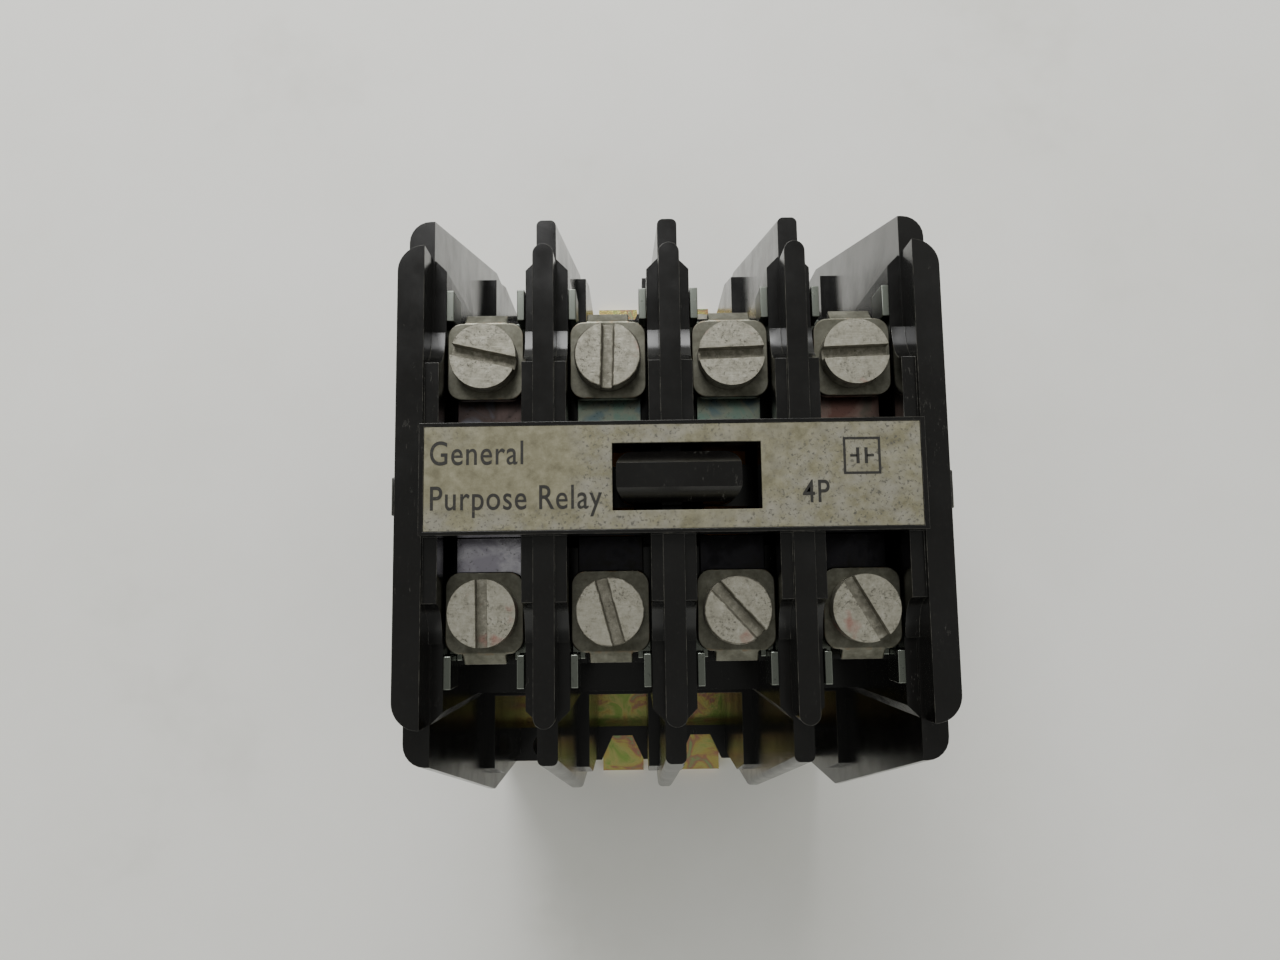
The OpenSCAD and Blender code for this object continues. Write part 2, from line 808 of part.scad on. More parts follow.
module contact_bridge(n) {
    z = bridge_z(n);
    tip_z = is_closed(n) ? z + bridge_t : z - tip_h;
    color("#b98d63") {
        block([pole_x(n) - bridge_w / 2, -bridge_half_y, z], [pole_x(n) + bridge_w / 2, bridge_half_y, z + bridge_t]);
        for (y = [-1, 1]) post(pole_x(n), y * tip_y, tip_z, tip_z + tip_h, tip_d);
    }
}

module contact_spring(n) {
    z = bridge_z(n);
    low = is_closed(n) ? z - closed_spring_h : z + bridge_t;
    high = is_closed(n) ? z : z + bridge_t + open_spring_h;
    spring_tube(pole_x(n), 0, low + 0.05, high - 0.05, bar_t / 2 - slide_gap, 0.5);
}

module fixed_contact_tips() {
    color(silver) for (n = [1:4], y = [-1, 1]) {
        z = is_closed(n) ? closed_foot_bottom - tip_h : open_foot_top;
        post(pole_x(n), y * tip_y, z, z + tip_h, tip_d);
    }
}

// ---- Terminals: end is 1 for the line end (+Y) and -1 for the load end ----

module at_end(end) {
    mirror([0, end < 0 ? 1 : 0, 0]) children();
}

// Side view of a strap: terminal flat, leg down into the chamber, and contact foot
module strap_profile(n) {
    foot_low = is_closed(n) ? closed_foot_bottom : open_foot_top - strap_t;
    polygon([
        [strap_in_y, strap_top], [strap_arm_y, strap_top], [strap_arm_y, floor_z],
        [strap_in_y + strap_t, floor_z], [strap_in_y + strap_t, foot_low], [strap_foot_y, foot_low],
        [strap_foot_y, foot_low + strap_t], [strap_in_y, foot_low + strap_t]
    ]);
}

module strap(n, end) {
    x = pole_x(n);
    arm_in_x = tongue_w / 2 + 0.5;
    color("#9c9f96") at_end(end) difference() {
        union() {
            across_x(x, strap_w) strap_profile(n);
            for (s = [-1, 1]) translate([x, 0, 0]) mirror([s < 0 ? 1 : 0, 0, 0]) {
                block([arm_in_x, strap_arm_y - 1, floor_z], [guard_half_x, screw_y + 4.8, strap_top]);
                block(
                    [guard_half_x - guard_t, screw_y + 4.2, floor_z],
                    [guard_half_x, strap_out_y, block_top]
                );
            }
        }
        post(x, screw_y, floor_z - eps, strap_top + eps, shank_d + 2 * thread_gap);
        for (s = [-1, 1]) translate([x + s * (strap_w / 2 + 2), 0, floor_z / 2]) {
            cube([4 + 1.8, 2 * strap_in_y + 2 * strap_t + 0.1, floor_z - 1], center = true);
        }
    }
}

module clamp(n, end) {
    color(zinc) translate([pole_x(n), 0, 0]) at_end(end) difference() {
        union() {
            upright(clamp_z, clamp_z + clamp_t) translate([0, clamp_in_y + clamp_l / 2]) {
                round_rect(clamp_w, clamp_l, 1.5);
            }
            across_x(0, tongue_w) polygon([
                [clamp_in_y + clamp_l - 1, clamp_z + clamp_t],
                [clamp_in_y + clamp_l, clamp_z + clamp_t],
                [clamp_in_y + clamp_l + tongue_reach, clamp_z + clamp_t - tongue_reach],
                [clamp_in_y + clamp_l + tongue_reach - 0.7, clamp_z + 0.4 - tongue_reach],
                [clamp_in_y + clamp_l - 1, clamp_z]
            ]);
        }
        post(0, screw_y, clamp_z - eps, clamp_z + clamp_t + eps, shank_d + 0.6);
    }
}

// A slotted cheese-head screw pointing down
module slotted_screw(x, y, z, d, h, shank, len, slot, angle) {
    translate([x, y, z]) difference() {
        union() {
            cylinder(h = h, d = d);
            translate([0, 0, -len]) cylinder(h = len, d = shank);
        }
        rotate(angle) translate([0, 0, h]) cube([d + 1, slot, h], center = true);
    }
}

// Rest angles of the slots, pole 1 to 4
line_slots = [-13, 88, 2, 2];
load_slots = [91, 105, 132, 120];

module terminal_screw(n, end) {
    angle = end > 0 ? line_slots[n - 1] : load_slots[n - 1];
    color(zinc) slotted_screw(
        pole_x(n), end * screw_y, head_z + 0.02, head_d, head_h, shank_d, screw_len, slot_w, angle
    );
}

module coil_strap(side) {
    color(silver) difference() {
        block(
            [side * coil_x - coil_strap_w / 2, winding_half_y - 1.8, coil_floor_z],
            [side * coil_x + coil_strap_w / 2, shelf_out_y - 0.4, coil_floor_z + coil_strap_t]
        );
        post(side * coil_x, coil_y, coil_floor_z - eps, coil_floor_z + 1, coil_shank_d + 2 * thread_gap);
    }
}

module coil_clamp(side) {
    color(zinc) difference() {
        upright(coil_clamp_z, coil_clamp_z + coil_clamp_t) translate([side * coil_x, coil_y]) {
            round_rect(6.6, 5.2, 1);
        }
        post(side * coil_x, coil_y, coil_clamp_z - eps, coil_clamp_z + 2, coil_shank_d + 0.5);
    }
}

module coil_screw(side) {
    color(zinc) slotted_screw(
        side * coil_x, coil_y, coil_head_z + 0.02, coil_head_d, coil_head_h,
        coil_shank_d, coil_screw_len, 1, side * 35
    );
}

mounting_plate();
base_housing();
contact_block();
front_cover();
label_plate();
side_clips();
deck_screws();
base_screws();
magnet_core();
core_cushion();
shading_ring(-1);  // shading_ring_left
shading_ring(1);  // shading_ring_right
coil_bobbin();
coil_winding();
coil_wrap();
armature();
armature_pin();
crossbar();
return_spring(1);  // return_spring_upper
return_spring(-1);  // return_spring_lower
contact_bridge(1);  // contact_bridge_1
contact_bridge(2);  // contact_bridge_2
contact_bridge(3);  // contact_bridge_3
contact_bridge(4);  // contact_bridge_4
contact_spring(1);  // contact_spring_1
contact_spring(2);  // contact_spring_2
contact_spring(3);  // contact_spring_3
contact_spring(4);  // contact_spring_4
fixed_contact_tips();
strap(1, 1);  // line_strap_1
strap(2, 1);  // line_strap_2
strap(3, 1);  // line_strap_3
strap(4, 1);  // line_strap_4
strap(1, -1);  // load_strap_1
strap(2, -1);  // load_strap_2
strap(3, -1);  // load_strap_3
strap(4, -1);  // load_strap_4
clamp(1, 1);  // line_clamp_1
clamp(2, 1);  // line_clamp_2
clamp(3, 1);  // line_clamp_3
clamp(4, 1);  // line_clamp_4
clamp(1, -1);  // load_clamp_1
clamp(2, -1);  // load_clamp_2
clamp(3, -1);  // load_clamp_3
clamp(4, -1);  // load_clamp_4
terminal_screw(1, 1);  // line_screw_1
terminal_screw(2, 1);  // line_screw_2
terminal_screw(3, 1);  // line_screw_3
terminal_screw(4, 1);  // line_screw_4
terminal_screw(1, -1);  // load_screw_1
terminal_screw(2, -1);  // load_screw_2
terminal_screw(3, -1);  // load_screw_3
terminal_screw(4, -1);  // load_screw_4
coil_strap(-1);  // coil_strap_left
coil_strap(1);  // coil_strap_right
coil_clamp(-1);  // coil_clamp_left
coil_clamp(1);  // coil_clamp_right
coil_screw(-1);  // coil_screw_left
coil_screw(1);  // coil_screw_right
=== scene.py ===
import functools
import json
import math

import bmesh
import bpy
from mathutils import Euler, Matrix, Vector


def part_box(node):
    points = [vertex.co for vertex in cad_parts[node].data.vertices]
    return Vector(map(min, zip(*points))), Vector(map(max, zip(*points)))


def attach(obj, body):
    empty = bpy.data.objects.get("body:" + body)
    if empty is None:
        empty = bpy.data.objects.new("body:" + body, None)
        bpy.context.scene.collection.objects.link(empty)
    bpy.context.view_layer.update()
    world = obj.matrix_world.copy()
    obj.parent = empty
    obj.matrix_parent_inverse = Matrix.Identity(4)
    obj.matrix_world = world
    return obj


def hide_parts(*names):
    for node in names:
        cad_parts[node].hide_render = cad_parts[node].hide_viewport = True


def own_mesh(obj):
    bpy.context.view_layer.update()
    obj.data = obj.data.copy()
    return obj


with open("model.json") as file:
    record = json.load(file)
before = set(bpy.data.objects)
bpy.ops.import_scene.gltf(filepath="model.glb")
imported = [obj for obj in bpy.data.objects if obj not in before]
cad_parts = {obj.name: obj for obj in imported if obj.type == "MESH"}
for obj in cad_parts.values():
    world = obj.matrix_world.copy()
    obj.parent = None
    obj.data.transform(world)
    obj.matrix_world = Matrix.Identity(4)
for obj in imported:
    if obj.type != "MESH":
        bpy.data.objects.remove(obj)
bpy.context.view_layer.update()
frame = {"nodes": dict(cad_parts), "record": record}

MM = 0.001
POLES = (1, 2, 3, 4)
# The first and last words in the names of each terminal's strap, clamp and screw
TERMINALS = [(end, pole) for end in ("line", "load") for pole in POLES]
TERMINALS += [("coil", side) for side in ("left", "right")]


# ---- Places and sizes, read from the frame ----

@functools.cache
def box(node):
    return [Vector(corner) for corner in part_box(node)]


def low(node):
    return box(node)[0]


def high(node):
    return box(node)[1]


def centre(node):
    return (low(node) + high(node)) / 2


def body_of(node):
    """The moving body that a CAD node belongs to."""
    for body, members in frame["record"]["behaviour"]["bodies"].items():
        if node in members:
            return body
    raise ValueError(node)


def slot_of(node):
    """The material slot that a CAD node has in the record."""
    return next(s["material_slot"] for s in frame["record"]["subparts"] if s["node"] == node)


# ---- Materials ----

def srgb(code):
    """A hex colour in sRGB, as the linear values that shaders take."""
    values = [int(code[i:i + 2], 16) / 255 for i in (1, 3, 5)]
    linear = [v / 12.92 if v <= 0.04045 else ((v + 0.055) / 1.055) ** 2.4 for v in values]
    return (*linear, 1.0)


def per_mm(size):
    """The scale of a texture on coordinates in metres whose features are this many millimetres apart."""
    return 1 / (size * MM)


def add(tree, kind, links=None, values=None, stops=None, **settings):
    """Adds a node with its settings, socket values, colour stops and links."""
    node = tree.nodes.new(kind)
    for name, value in settings.items():
        setattr(node, name, value)
    for name, value in (values or {}).items():
        node.inputs[name].default_value = value
    for name, source in (links or {}).items():
        tree.links.new(source, node.inputs[name])
    for i, (place, colour) in enumerate(stops or []):
        elements = node.color_ramp.elements
        element = elements[i] if i < len(elements) else elements.new(place)
        element.position = place
        element.color = srgb(colour)
    return node


def new_material(name, roughness, metallic=0.0):
    """A material with one Principled shader, and the object coordinates that its patterns use."""
    made = bpy.data.materials.new(name)
    made.use_nodes = True
    tree = made.node_tree
    shader = tree.nodes["Principled BSDF"]
    shader.inputs["Roughness"].default_value = roughness
    shader.inputs["Metallic"].default_value = metallic
    place = add(tree, "ShaderNodeTexCoord").outputs["Object"]
    return made, tree, shader, place


def speckle(tree, place, size, start, end, amount=1.0, detail=4, rough=0.6):
    """Blotches this many millimetres apart: 0 where noise is under the start, the amount over the end."""
    cloud = add(tree, "ShaderNodeTexNoise", {"Vector": place},
                {"Scale": per_mm(size), "Detail": detail, "Roughness": rough}).outputs["Fac"]
    return add(tree, "ShaderNodeMapRange", {"Value": cloud}, {
        "From Min": start, "From Max": end, "To Min": 0.0, "To Max": amount,
    }).outputs["Result"]


def cloudy(tree, place, size, stops, detail=5, rough=0.65, distortion=0.0):
    """Tones that drift over this many millimetres, and the noise that they follow."""
    cloud = add(tree, "ShaderNodeTexNoise", {"Vector": place}, {
        "Scale": per_mm(size), "Detail": detail, "Roughness": rough, "Distortion": distortion,
    }).outputs["Fac"]
    return add(tree, "ShaderNodeValToRGB", {"Fac": cloud}, stops=stops).outputs["Color"], cloud


def stain(tree, under, colour, *where):
    """A colour laid over what is under it, where all these patterns and named marks overlap."""
    amount = None
    for part in where:
        if part in ("edge_wear_and_highlight", "slot_shade_and_grime"):
            part = add(tree, "ShaderNodeAttribute", attribute_name=part).outputs["Fac"]
        if amount is not None:
            part = add(tree, "ShaderNodeMath", {0: amount, 1: part}, operation="MULTIPLY").outputs[0]
        amount = part
    mix = add(tree, "ShaderNodeMix", {0: amount, 6: under}, {7: srgb(colour)}, data_type="RGBA")
    return mix.outputs[2]


def surface(tree, shader, tone, height, depth, strength=0.3, gloss=None):
    """Gives a shader its tone, and bumps this many millimetres deep. Gloss is a pattern, and the
    roughness where it is 0.3 and where it is 0.7."""
    tree.links.new(tone, shader.inputs["Base Color"])
    bump = add(tree, "ShaderNodeBump", {"Height": height}, {"Strength": strength, "Distance": depth * MM})
    tree.links.new(bump.outputs["Normal"], shader.inputs["Normal"])
    if gloss:
        pattern, at_low, at_high = gloss
        rough = add(tree, "ShaderNodeMapRange", {"Value": pattern}, {
            "From Min": 0.3, "From Max": 0.7, "To Min": at_low, "To Max": at_high,
        })
        tree.links.new(rough.outputs["Result"], shader.inputs["Roughness"])


def black_phenolic():
    """Moulded black phenolic: a glossy skin with faint flow marks, pale streaks that are partly settled
    dust and scuffs and partly a painted sheen, and edges rubbed grey where tools and fingers reach, which
    is partly a painted highlight along the broken edges."""
    made, tree, shader, place = new_material("black_phenolic", 0.3)
    shader.inputs["IOR"].default_value = 1.55
    tone = cloudy(tree, place, 0.4, [
        (0.0, "#0b0a0a"), (0.6, "#0e0d0c"), (0.74, "#1d1c1a"), (0.84, "#3a3933"),
    ], detail=3, rough=0.7)[0]
    # Pale streaks stretched along x: partly dust and scuffs, partly a painted sheen on the glossy skin.
    along = add(tree, "ShaderNodeMapping", {"Vector": place}, {"Scale": (4, 1, 1)}).outputs["Vector"]
    tone = stain(tree, tone, "#6d6c66",
                 speckle(tree, along, 1.6, 0.6, 0.7, amount=0.6, detail=6, rough=0.8),
                 speckle(tree, place, 9, 0.52, 0.64))
    # Lighter grey on the broken edges: partly rubbed wear, partly a painted highlight along the edges.
    tone = stain(tree, tone, "#57554d", "edge_wear_and_highlight",
                 speckle(tree, place, 1.4, 0.42, 0.64, amount=0.8, detail=5, rough=0.75))
    flow = add(tree, "ShaderNodeTexNoise", {"Vector": place},
               {"Scale": per_mm(6), "Detail": 5, "Roughness": 0.65}).outputs["Fac"]
    surface(tree, shader, tone, flow, 0.05, strength=0.2, gloss=(flow, 0.14, 0.26))
    return made


def screw_zinc():
    """Zinc-plated screw: pale and bloomed, painted shade with some brown grime in the slot, pitted where
    the driver slipped, with traces of red sealing paint."""
    made, tree, shader, place = new_material("screw_zinc", 0.46, 0.6)
    tone, bloom = cloudy(tree, place, 1.1, [
        (0.3, "#5e5b50"), (0.42, "#8a877a"), (0.58, "#9f9c8f"), (0.72, "#b8b5a9"),
    ], detail=6, rough=0.75)
    tone = stain(tree, tone, "#3d3b33",
                 speckle(tree, place, 0.35, 0.52, 0.62, amount=0.9, detail=5, rough=0.8),
                 speckle(tree, place, 2.6, 0.44, 0.6))
    tone = stain(tree, tone, "#8a4038", speckle(tree, place, 4.5, 0.64, 0.72, amount=0.5, detail=3))
    tone = stain(tree, tone, "#4d4a40", "edge_wear_and_highlight", speckle(tree, place, 0.9, 0.35, 0.5, amount=0.8))
    # Painted shade in the slot, darkening its floor, with some grime.
    tone = stain(tree, tone, "#6b685c", "slot_shade_and_grime", speckle(tree, place, 0.6, 0.35, 0.6, amount=0.8))
    across = add(tree, "ShaderNodeMapping", {"Vector": place},
                 {"Scale": (1, 8, 1), "Rotation": (0, 0, 0.7)}).outputs["Vector"]
    scratches = add(tree, "ShaderNodeTexNoise", {"Vector": across},
                    {"Scale": per_mm(1.5), "Detail": 5, "Roughness": 0.75}).outputs["Fac"]
    surface(tree, shader, tone, scratches, 0.05, strength=0.45, gloss=(bloom, 0.58, 0.36))
    return made


def clamp_zinc():
    """Zinc-plated clamping plate gone dull olive grey, with rust starting at its edges."""
    made, tree, shader, place = new_material("clamp_zinc", 0.36, 1.0)
    tone, bloom = cloudy(tree, place, 1.6, [
        (0.3, "#55544a"), (0.5, "#6e6d62"), (0.7, "#87867b"),
    ], detail=6, rough=0.7)
    tone = stain(tree, tone, "#6b5a45", "edge_wear_and_highlight", speckle(tree, place, 0.8, 0.5, 0.65, amount=0.7))
    surface(tree, shader, tone, bloom, 0.03, gloss=(bloom, 0.46, 0.3))
    return made


def tinted_strap(name, tones, roughness=0.28):
    """Plated copper-alloy strap: silver grey at its outer end, and near the contacts under three tones,
    which are thin oxide films where it has been hot, or painted shade."""
    made, tree, shader, place = new_material(name, roughness, 1.0)
    stops = list(zip((0.38, 0.5, 0.62), tones))
    film = cloudy(tree, place, 4, stops, detail=3, rough=0.6, distortion=0.6)[0]
    along = add(tree, "ShaderNodeSeparateXYZ", {0: place}).outputs["Y"]
    reach = add(tree, "ShaderNodeMath", {0: along}, operation="ABSOLUTE").outputs[0]
    cool = add(tree, "ShaderNodeMapRange", {"Value": reach}, {
        "From Min": 10 * MM, "From Max": 14 * MM, "To Min": 0.0, "To Max": 1.0,
    }).outputs["Result"]
    dots = speckle(tree, place, 0.3, 0.6, 0.68, amount=0.6, rough=0.7)
    tone = stain(tree, stain(tree, film, "#8b9088", cool), "#4a4a44", dots)
    surface(tree, shader, tone, dots, 0.02, strength=0.25)
    return made


def dichromate_plate():
    """Zinc with a yellow dichromate film, which drifts from straw through green to pink."""
    made, tree, shader, place = new_material("dichromate_plate", 0.16, 0.75)
    tone = cloudy(tree, place, 4, [
        (0.34, "#b2cf70"), (0.43, "#dcd98a"), (0.5, "#e2d07c"), (0.57, "#d39a84"), (0.66, "#b5c98f"),
    ], detail=3, rough=0.55, distortion=1.2)[0]
    surface(tree, shader, tone, speckle(tree, place, 0.4, 0.3, 0.7), 0.02, strength=0.25)
    return made


def aged_foil():
    """Printed aluminium foil label, khaki with age: a fibrous mottle, and grey flecks where the
    lacquer has rubbed through."""
    made, tree, shader, place = new_material("aged_foil", 0.5, 0.25)
    tone, mottle = cloudy(tree, place, 1.3, [
        (0.34, "#66624d"), (0.46, "#75715b"), (0.56, "#7f7b65"), (0.68, "#8c8872"),
    ], detail=7, rough=0.72)
    rubbed = speckle(tree, place, 14, 0.44, 0.56, detail=2, rough=0.4)
    tone = stain(tree, tone, "#8f8d86", rubbed, speckle(tree, place, 2.4, 0.4, 0.62, amount=0.55))
    tone = stain(tree, tone, "#4d4b45", rubbed,
                 speckle(tree, place, 0.34, 0.55, 0.63, amount=0.9, rough=0.72))
    surface(tree, shader, tone, mottle, 0.02, strength=0.2)
    return made


def plain(name, stops, size, roughness, metallic=0.0):
    """A plain finish: its tones drift over this many millimetres. Its grain, finer than a tenth of
    a millimetre in life, is drawn 0.3 mm coarse so that it shows."""
    made, tree, shader, place = new_material(name, roughness, metallic)
    tone = cloudy(tree, place, size, stops)[0]
    surface(tree, shader, tone, speckle(tree, place, 0.3, 0.3, 0.7), 0.02, strength=0.2)
    return made


def banded(name, stops, spacing, axis, roughness, metallic, depth):
    """Fine parallel bands this many millimetres apart: the edges of laminations, or turns of wire."""
    made, tree, shader, place = new_material(name, roughness, metallic)
    # A wave texture's bands stand 2 pi / 20 units apart at scale 1.
    bands = add(tree, "ShaderNodeTexWave", {"Vector": place},
                {"Scale": per_mm(spacing) * math.pi / 10, "Distortion": 0.3, "Detail": 1},
                bands_direction=axis).outputs["Fac"]
    tone = add(tree, "ShaderNodeValToRGB", {"Fac": bands}, stops=stops).outputs["Color"]
    surface(tree, shader, tone, bands, depth, strength=0.6)
    return made


# Finishes by a node's own name, its kind or its material slot. The straps' tones are those of the oxide
# on each, by how hot its contacts ran, but for the load straps of poles 2 to 4, whose near-black tones
# are painted shade.
FINISHES = {
    "black_phenolic": black_phenolic(),
    "zinc_steel": screw_zinc(),
    "clamp": clamp_zinc(),
    "terminal_strap": tinted_strap("green_filmed_strap", ("#a8c8ba", "#c3ccbb", "#98b0b5")),
    "line_strap_1": tinted_strap("purple_filmed_strap", ("#a08c8a", "#827473", "#9c9fac")),
    "line_strap_4": tinted_strap("red_filmed_strap", ("#94716a", "#a88f87", "#8f867d")),
    "load_strap_1": tinted_strap("silver_strap", ("#c4bfcd", "#e6e3ec", "#a9a3b0"), 0.2),
    # Painted shade: near-black tones stand in for the shade that these straps lie in, not for an oxide.
    "painted_shade_strap": tinted_strap("painted_shade_filmed_strap", ("#29282b", "#37363a", "#302f2d"), 0.25),
    "dichromate_steel": dichromate_plate(),
    "label_foil": aged_foil(),
    # Silicon-steel laminations half a millimetre thick: dark with oil, with bright cut edges.
    "lamination_steel": banded("lamination_steel", [(0.2, "#3c3b38"), (0.8, "#74726c")],
                               spacing=0.5, axis="Y", roughness=0.4, metallic=1.0, depth=0.03),
    # Enamelled copper wire a quarter of a millimetre thick: glossy red-brown turns.
    "enamelled_wire": banded("enamelled_wire", [(0.1, "#4c2411"), (0.7, "#a4592c")],
                             spacing=0.25, axis="Z", roughness=0.28, metallic=0.8, depth=0.08),
    # Moulded rubber, matt and nearly black
    "rubber": plain("black_rubber", [(0.3, "#1b1a19"), (0.7, "#2b2927")], 2, 0.85),
    # Rolled beryllium copper, warm and half bright
    "copper": plain("beryllium_copper", [(0.3, "#9c6438"), (0.7, "#c98f5c")], 3, 0.32, 1.0),
    # Polyester tape, smooth and amber yellow
    "coil_tape": plain("polyester_tape", [(0.3, "#c9a83e"), (0.7, "#dcc063")], 4, 0.3),
    # Moulded nylon, a cream that has darkened unevenly
    "cream_nylon": plain("cream_nylon", [(0.3, "#c4bb9e"), (0.7, "#d6cfb6")], 5, 0.45),
    # Drawn spring wire, bright
    "spring_steel": plain("spring_wire", [(0.3, "#8e8f8f"), (0.7, "#c2c3c3")], 1, 0.25, 1.0),
    # Silver alloy, white with a dull bloom
    "silver": plain("contact_silver", [(0.3, "#a9a8a0"), (0.7, "#d9d8d2")], 0.8, 0.3, 1.0),
}
# Brown-black screen ink, broken a little where the label was rubbed.
INK = plain("printing_ink", [(0.0, "#161512"), (0.58, "#1f1d19"), (0.74, "#4a4639")], 0.3, 0.5)


def finish_of(node):
    """The finish of a node: its own if it has one, or else its kind's, or its slot's."""
    # Load straps without a finish of their own are painted near black, as painted shade.
    if node.startswith("load_strap") and node not in FINISHES:
        return FINISHES["painted_shade_strap"]
    return FINISHES.get(node) or FINISHES["clamp" if "clamp" in node else slot_of(node)]


# ---- Making pieces ----

def piece(name, bm, node, finish=None, stands_for=True):
    """Turns a finished bmesh into a piece that rides with a CAD node's body, in its finish."""
    bmesh.ops.recalc_face_normals(bm, faces=bm.faces)
    mesh = bpy.data.meshes.new(name)
    bm.to_mesh(mesh)
    bm.free()
    mesh.shade_smooth()
    mesh.set_sharp_from_angle(angle=math.radians(35))
    made = bpy.data.objects.new(name, mesh)
    bpy.context.scene.collection.objects.link(made)
    mesh.materials.append(finish or finish_of(node))
    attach(made, body_of(node))
    # Flat faces stay flat where they meet a rounded edge.
    weighted = made.modifiers.new("flat_faces", "WEIGHTED_NORMAL")
    weighted.keep_sharp = True
    if stands_for:
        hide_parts(node)
    return made


def clean_copy(node):
    """A CAD node's shape with its loose triangles joined into whole faces, with no wear, painted
    highlight or painted shade marked yet.
    """
    bm = bmesh.new()
    bm.from_mesh(frame["nodes"][node].data)
    bmesh.ops.remove_doubles(bm, verts=bm.verts, dist=0.002 * MM)
    bmesh.ops.dissolve_limit(bm, angle_limit=math.radians(0.6), verts=bm.verts, edges=bm.edges)
    bm.loops.layers.float.new("edge_wear_and_highlight")
    bm.loops.layers.float.new("slot_shade_and_grime")
    return bm


def mark(bm, layer, faces):
    """Marks faces for edge wear with a painted highlight, or for painted shade and grime in a slot."""
    values = bm.loops.layers.float[layer]
    for face in faces:
        for loop in face.loops:
            loop[values] = 1.0


def round_edges(bm, edges, radius, segments=2, layer="edge_wear_and_highlight", clamp=True):
    """Rounds edges by a radius in millimetres, and marks the faces that this makes."""
    made = bmesh.ops.bevel(
        bm, geom=edges, offset=radius * MM, offset_type="OFFSET", segments=segments, profile=0.5,
        affect="EDGES", clamp_overlap=clamp, material=-1,
    )
    if layer:
        mark(bm, layer, made["faces"])


def sharp_edges(bm):
    """The edges where two faces meet at more than 30 degrees."""
    sharp = math.radians(30)
    return [e for e in bm.edges if len(e.link_faces) == 2 and e.calc_face_angle(0) > sharp]


def broken_edges(node, radius):
    """A piece that keeps its CAD shape, with every sharp edge broken."""
    bm = clean_copy(node)
    round_edges(bm, sharp_edges(bm), radius)
    piece(node + "_finished", bm, node)


# ---- Housing ----

# Height over which the ends of the fins flare outwards, below the joint of base and block
FLARE_DROP = 10 * MM
# Spans of distance from the middle, in millimetres, that hold the sides of each kind of fin
OUTER_WALLS, MIDDLE_FIN, INNER_FINS = (26, 28), (0, 2), (11, 14)
# Radii in millimetres that the sides turn into the ends by
WALL_TURN, FIN_TURN = 2.2, 0.6
# Radii in millimetres that break the edges of the housing's small pieces
TRIM_EDGES = {
    "front_cover": 0.2, "side_clips": 0.15, "deck_screws": 0.15, "base_screws": 0.1, "label_plate": 0.05,
}


def fin_reach(z):
    """Distance of the fins' ends from the middle, at a height."""
    foot, joint = high("base_housing").y, high("contact_block").y
    return min(foot, joint - (foot - joint) / FLARE_DROP * (z - low("contact_block").z))


def fin_end_edges(bm, nearest, furthest):
    """The upright edges of the fins' ends, for fins between two distances from the middle."""
    end_slack, side_slack, shortest = 0.03 * MM, 0.01 * MM, 1.5 * MM
    found = []
    for edge in bm.edges:
        first, last = (v.co for v in edge.verts)
        on_end = all(abs(abs(v.y) - fin_reach(v.z)) < end_slack for v in (first, last))
        upright = abs(first.z - last.z) > shortest and abs(first.x - last.x) < side_slack
        if on_end and upright and nearest * MM < abs(first.x) < furthest * MM:
            found.append(edge)
    return found


def housing_moulding(node):
    """A moulding: its sides turn widely into the ends of the fins, and every edge is broken."""
    bm = clean_copy(node)
    round_edges(bm, fin_end_edges(bm, *OUTER_WALLS), WALL_TURN, segments=6, layer=None)
    for fins in (MIDDLE_FIN, INNER_FINS):
        round_edges(bm, fin_end_edges(bm, *fins), FIN_TURN, segments=6, layer=None, clamp=False)
    round_edges(bm, sharp_edges(bm), 0.15)
    piece(node + "_moulding", bm, node)


def housing():
    housing_moulding("base_housing")
    housing_moulding("contact_block")
    for node, radius in TRIM_EDGES.items():
        broken_edges(node, radius)


# ---- Magnet, coil and contacts ----

# Radii in millimetres that break the edges of the magnet, the coil and the crossbar
MAGNET_EDGES = {
    "magnet_core": 0.12, "armature": 0.12, "armature_pin": 0.2, "core_cushion": 0.2, "coil_bobbin": 0.2,
    "coil_wrap": 0.1, "coil_winding": 0.3, "shading_ring_left": 0.15, "shading_ring_right": 0.15,
    "crossbar": 0.15,
}


def magnet_and_coil():
    for node, radius in MAGNET_EDGES.items():
        broken_edges(node, radius)


# How finely a spring is made: sides round its wire, and steps in a turn
WIRE_SIDES, TURN_STEPS = 10, 20


def spring(node, wire, turns):
    """A coil spring of round wire with a closed turn at each end, in the space of its CAD tube."""
    foot, axis = low(node), centre(node)
    radius = (high(node).x - foot.x - wire) / 2
    free = high(node).z - foot.z - 3 * wire
    bm = bmesh.new()
    start = Matrix.Translation((axis.x + radius, axis.y, foot.z + wire / 2))
    bmesh.ops.create_circle(bm, cap_ends=False, segments=WIRE_SIDES, radius=wire / 2,
                            matrix=start @ Matrix.Rotation(math.pi / 2, 4, "X"))
    last = bm.verts[:] + bm.edges[:]
    for count, rise in ((1, wire), (turns, free), (1, wire)):
        steps = TURN_STEPS * count
        last = bmesh.ops.spin(
            bm, geom=last, cent=(axis.x, axis.y, 0), axis=(0, 0, 1), dvec=(0, 0, rise / steps),
            angle=2 * math.pi * count, steps=steps, use_duplicate=False,
        )["geom_last"]
    bmesh.ops.holes_fill(bm, edges=[e for e in bm.edges if e.is_boundary], sides=0)
    return piece(node + "_coil", bm, node)


